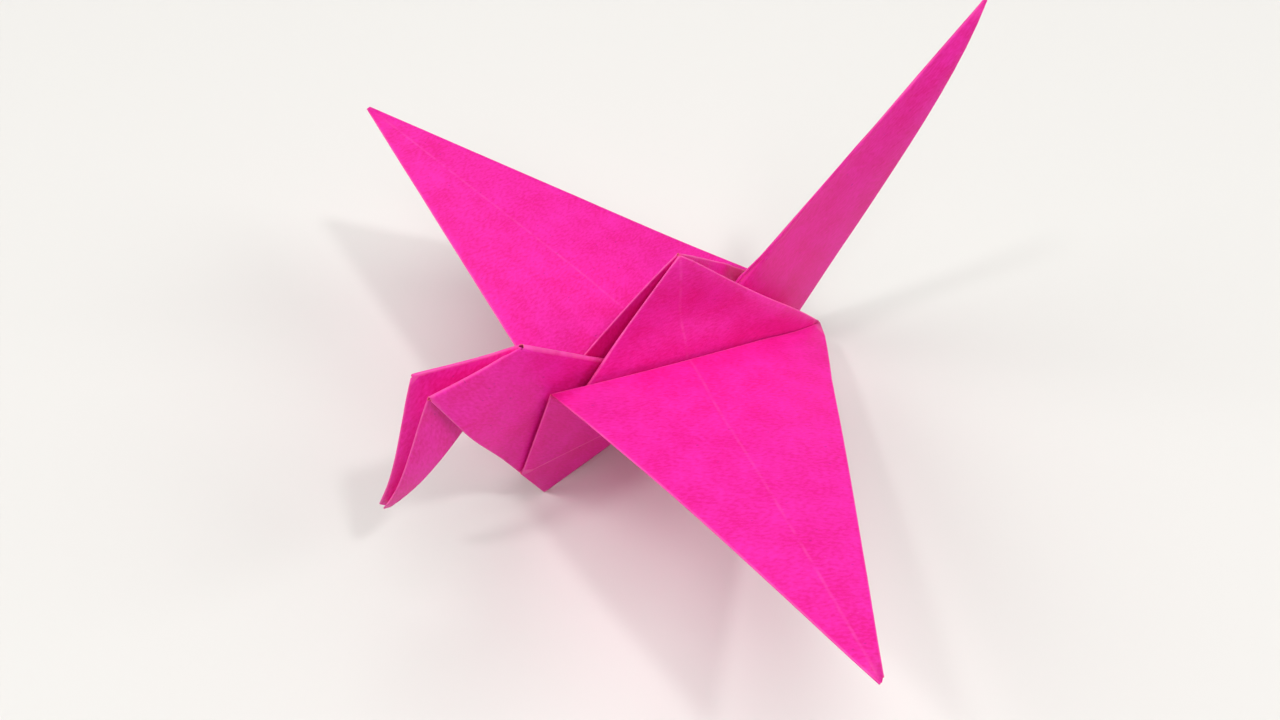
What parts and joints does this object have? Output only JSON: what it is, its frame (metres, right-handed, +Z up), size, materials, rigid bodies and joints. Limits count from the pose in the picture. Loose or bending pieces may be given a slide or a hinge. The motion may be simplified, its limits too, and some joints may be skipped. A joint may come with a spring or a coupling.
{
  "type": "folded paper crane",
  "caption": "Origami crane folded from one pink square sheet, with raised tail, bent neck and two outspread wings, standing on the lower corners of its body.",
  "frame": {"origin": "middle of the bounding box's base, on the surface that the four lower corners of the body stand on", "axes": "+Z up, -X towards the beak, +X towards the tail, wings along Y with the wing that the picture shows in front at -Y"},
  "size_m": [0.1112, 0.129, 0.0629],
  "materials": {
    "paper": "matt"
  },
  "bodies": {
    "root": {"folded_sheet": "paper"}
  },
  "joints": []
}
